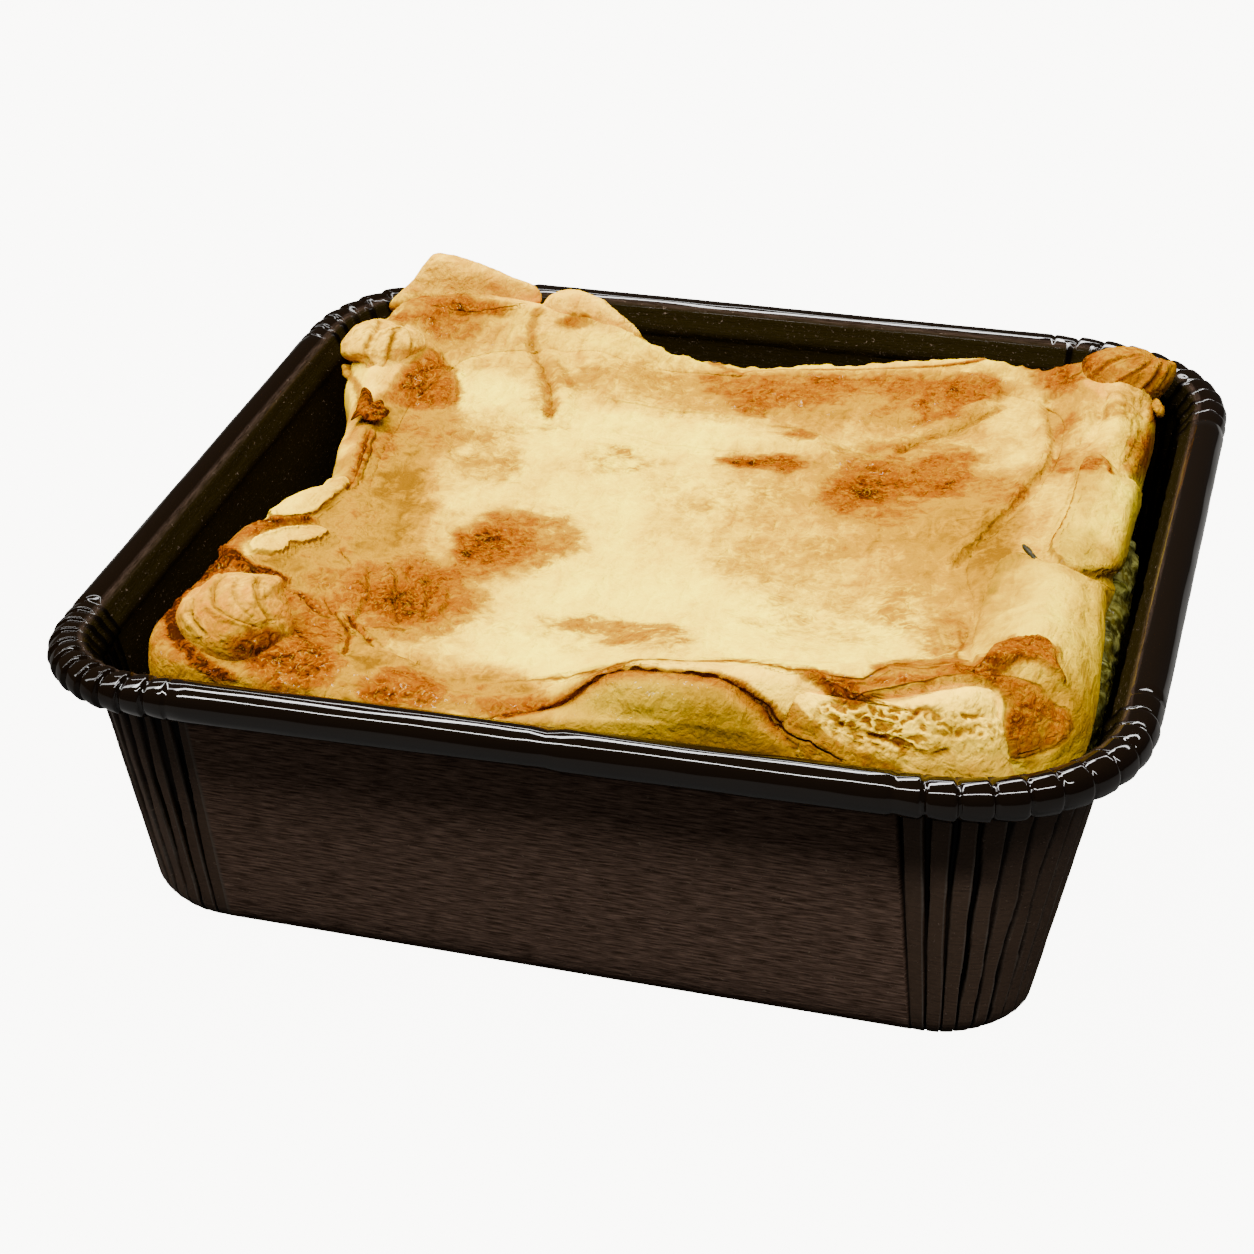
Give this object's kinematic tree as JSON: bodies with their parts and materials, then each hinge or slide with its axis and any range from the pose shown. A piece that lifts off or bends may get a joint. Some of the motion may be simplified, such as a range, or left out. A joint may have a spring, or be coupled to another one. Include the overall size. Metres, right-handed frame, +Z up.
{
  "type": "quiche in a paper baking tray",
  "caption": "Square jalapeno quiche: puff pastry case with folded corners, baked custard filling, in a pleated paper baking tray with a rolled rim.",
  "frame": {"origin": "centre of the tray's base, on the surface it stands on", "axes": "+Z up, -Y towards the front wall with the paper's lap seam, +X to the right, where the filling shows beside the case"},
  "size_m": [0.15, 0.15, 0.0556],
  "materials": {
    "tray_paper": "dark brown ribbed baking paper, its rolled rim glossy near black",
    "puff_pastry": "baked puff pastry, pale tan to brown, egg-washed in places",
    "custard": "baked cream-yellow custard skin with brown blotches, green flecked inside"
  },
  "bodies": {
    "root": {"tray": "tray_paper", "pastry": "puff_pastry", "filling": "custard"}
  },
  "joints": []
}
